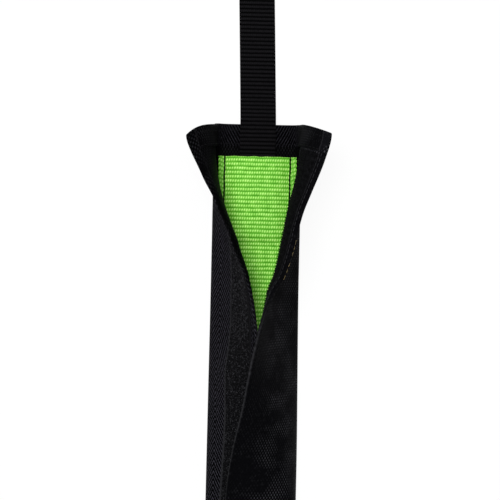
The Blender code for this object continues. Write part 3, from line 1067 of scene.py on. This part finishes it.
def makeHooks(material):
    margin, pitch = tape.hookMargin, tape.hookPitch
    first, last = tape.hookEdges
    downs = np.arange(tape.inset + margin, sleeve.length - tape.inset - margin, pitch)
    start = right.flapStart + tape.hookStart
    overs = start + np.arange(first, tape.width - last, pitch)
    down, over = np.meshgrid(downs, overs, indexing="ij")
    down, over = down.ravel(), over.ravel()
    lift = -tape.lift - tape.base * tape.pileStart
    points, normals = right.at(down, over, lift)
    along = right.at(down + margin, over)[0] - right.at(down - margin, over)[0]
    places = []
    for index, (point, normal, way) in enumerate(zip(points, normals, along)):
        lean = 1 if index % 2 else -1
        places.append(placeMatrix(point, way * lean, -normal))
    template = bentRod("hookTemplate", tape.hookYarn, hookCurve, 3)
    return scatterPiece("hookTapeHooks", template, places, material, "right_side")


loopMaterial = pileTape(
    "loopPile", 1500.0, pile.dark, pile.light, left.flapStart + tape.loopStart
)
hookMaterial = pileTape("hookBase", 500.0, pile.hookDark, pile.hookLight)
yarnMaterial = threadMaterial("pileYarn", pile.yarn, 0.7, 800.0, (0.25, 2.0))
barbMaterial = threadMaterial("hookBarb", pile.barb, 0.45)
loopTape = makeTapeBase("loopTapeBase", left, tape.loopStart, 1, loopMaterial, "loop_tape")
hookTape = makeTapeBase("hookTapeBase", right, tape.hookStart, -1, hookMaterial, "hook_tape")
loopYarns = makeLoops(yarnMaterial)
hookBarbs = makeHooks(barbMaterial)
print("sleeve: hook and loop tapes sewn on")


# thread
thread = Settings(
    length=0.0026, pitch=0.0031, radius=0.0002,
    blunt=0.6,              # 1 is a round end
    runPoints=240, endMargin=0.002, stand=0.00006, edgeRow=0.0021, edgeMargin=0.0046,
    middleMargin=0.0003, mouthRows=(0.0032, 0.0108), endRow=0.0025, seamRow=0.0016,
    tapeInset=0.0014, tapeMargin=0.001, tapeStand=0.00005, tapeSink=0.00014,
    webbingLength=0.006, webbingPitch=0.00474, webbingRadius=0.00048,
    webbingSink=0.55,       # share of the seam's dip
    webbingSway=(0.0001, 2.3), webbingLean=(0.03, 1.7), dark=(0.0024, 0.0024, 0.0028),
    mouth=(0.008, 0.008, 0.009), lapel=(0.024, 0.024, 0.027),
)


def stitchTemplate(length, radius):
    bm = bmesh.new()
    bmesh.ops.create_uvsphere(bm, u_segments=6, v_segments=5, radius=1.0)
    turned = Matrix.Rotation(pi / 2, 3, "Y")
    bmesh.ops.rotate(bm, verts=bm.verts, cent=(0, 0, 0), matrix=turned)
    for vert in bm.verts:
        vert.co.x = copysign(abs(vert.co.x) ** thread.blunt, vert.co.x)
    bmesh.ops.scale(bm, vec=(length / 2, radius, radius), verts=bm.verts)
    return meshFrom("stitchTemplate", bm)


def straight(start, end):
    return np.linspace(start, end, thread.runPoints)


def runPlaces(half, downs, overs, lift):
    # one matrix a stitch, along a run of (down, over) points on the cloth
    run = np.stack(np.broadcast_arrays(downs, overs), axis=1)
    points = half.at(run[:, 0], run[:, 1], lift)[0]
    lengths = pathLengths(points)
    count = int(lengths[-1] / thread.pitch)
    spots = (np.arange(count) + 0.5) * lengths[-1] / max(count, 1)
    places = []
    for spot in spots:
        ends = []
        for shift in (-thread.length / 2, 0, thread.length / 2):
            where = [np.interp(spot + shift, lengths, run[:, i]) for i in range(2)]
            ends.append(half.at(where[0], where[1], lift))
        places.append(placeMatrix(ends[1][0], ends[2][0] - ends[0][0], ends[1][1]))
    return places


def makeThread(
    name, places, material, body,
    length=thread.length, radius=thread.radius, blended=False,
):
    template = stitchTemplate(length, radius)
    return scatterPiece(name, template, places, material, body, blended)


blackThread = threadMaterial("blackThread", thread.dark)
mouthThread = threadMaterial("mouthThread", thread.mouth)
lapelThread = threadMaterial("lapelThread", thread.lapel)
faceLift = cloth.thickness / 2 + thread.stand
hemFace = -(cloth.hemLift + faceLift)
sewnLength = straight(thread.endMargin, sleeve.length - thread.endMargin)


def sewCloth(side, half, lapel):
    # a row along the free edge, and rows across both ends, on both faces
    overs = straight(thread.middleMargin, half.edge - thread.edgeMargin)
    rows = (*thread.mouthRows, sleeve.length - thread.endRow)
    threads = []
    for face, lift, edgeThread, rowThread in (
        ("Outer", faceLift, blackThread, blackThread),
        ("Inner", hemFace, lapel, mouthThread),
    ):
        places = runPlaces(half, sewnLength, half.edge - thread.edgeRow, lift)
        threads.append(makeThread(side + "Edge" + face, places, edgeThread, half.body))
        places = []
        for down in rows:
            places += runPlaces(half, down, overs, lift)
        threads.append(makeThread(
            side + "Mouth" + face, places, rowThread, half.body, blended=True
        ))
    return threads


def sewTape(side, half, start, face):
    # a row along each edge, on the tape and on the cloth's other face
    ends = tape.inset + thread.tapeMargin
    downs = straight(ends, sleeve.length - tape.inset - thread.tapeMargin)
    top = face * (tape.lift + tape.base / 2 + thread.tapeStand)
    places = []
    for inset in (thread.tapeInset, tape.width - thread.tapeInset):
        over = half.flapStart + start + inset + tapeShift(face, downs)
        for lift in (top, -face * (faceLift - thread.tapeSink)):
            places += runPlaces(half, downs, over, lift)
    return makeThread(side + "TapeThread", places, blackThread, half.body)


leftThreads = sewCloth("left", left, blackThread)
leftTapeThread = sewTape("left", left, tape.loopStart, 1)
rightThreads = sewCloth("right", right, lapelThread)
rightTapeThread = sewTape("right", right, tape.hookStart, -1)

# two rows along the middle of the back, where the two cloths meet
seamPlaces = []
for half in (left, right):
    seamPlaces += runPlaces(half, sewnLength, thread.seamRow, faceLift)
seamThread = makeThread("seamThread", seamPlaces, blackThread, "back")
print("sleeve: flaps and back sewn")


def makeWebbingThread():
    half = webbing.width / 2 - webbing.seamInset
    length = sleeve.length - 2 * webbing.inset
    count = int(length / thread.webbingPitch)
    sway, swayTurn = thread.webbingSway
    lean, leanTurn = thread.webbingLean
    places = []
    for side in (-1, 1):
        for index in range(count):
            along = (index + 0.5) * length / count
            down = webbing.inset + along
            z = float(webbingHeight(side * half, down)) + webbing.thickness / 2
            z += webbing.rib * 0.5 - webbing.seamDip * thread.webbingSink
            x = side * half + sway * sin(index * swayTurn)
            way = (lean * sin(index * leanTurn), 1, 0)
            places.append(placeMatrix((x, sleeve.mouthY - down, z), way, (0, 0, 1)))
    return makeThread(
        "webbingThread", places, blackThread, "back",
        thread.webbingLength, thread.webbingRadius,
    )


eyeStitch = Settings(
    length=0.0027, radius=0.00022, stand=0.00012, rows=15, rowStart=0.003,
    rowStep=0.0011, columns=7, reach=0.0075, lean=0.25,
)


def makeEyeTack():
    # a box of zigzag stitches over the strap's lap
    places = []
    top = strap.lapZ + strap.thickness / 2 + eyeStitch.stand
    lapY = strap.hingeY + strap.length
    for row in range(eyeStitch.rows):
        y = lapY - eyeStitch.rowStart - row * eyeStitch.rowStep
        lean = 1 if row % 2 else -1
        for x in np.linspace(-eyeStitch.reach, eyeStitch.reach, eyeStitch.columns):
            spot = (x + float(strapShift(y)), y, top)
            places.append(placeMatrix(spot, (1, eyeStitch.lean * lean, 0), (0, 0, 1)))
    return makeThread(
        "eyeTack", places, blackThread, "strap_line",
        eyeStitch.length, eyeStitch.radius,
    )


gold = Settings(
    runs=((0.061, 0.0708), (0.0735, 0.0845)), inset=0.0002, lift=0.0004, radius=0.00012,
    colour=(0.62, 0.47, 0.22), roughness=0.45,
)


def makeGoldThread():
    # two short runs that show on the right flap's free edge
    material = threadMaterial("goldThread", gold.colour, gold.roughness)
    places = []
    for start, end in gold.runs:
        places += runPlaces(right, straight(start, end), right.edge - gold.inset, gold.lift)
    return makeThread(
        "goldThread", places, material, "right_side", radius=gold.radius
    )


webbingThread = makeWebbingThread()
eyeTack = makeEyeTack()
goldThread = makeGoldThread()
print("sleeve: webbing and strap sewn")


# studio
makeCamera()
makeWorld()
makeLamp("key")
makeLamp("fill")
makeFloor()
bpy.context.scene.view_settings.view_transform = "Standard"
print("sleeve: studio set")
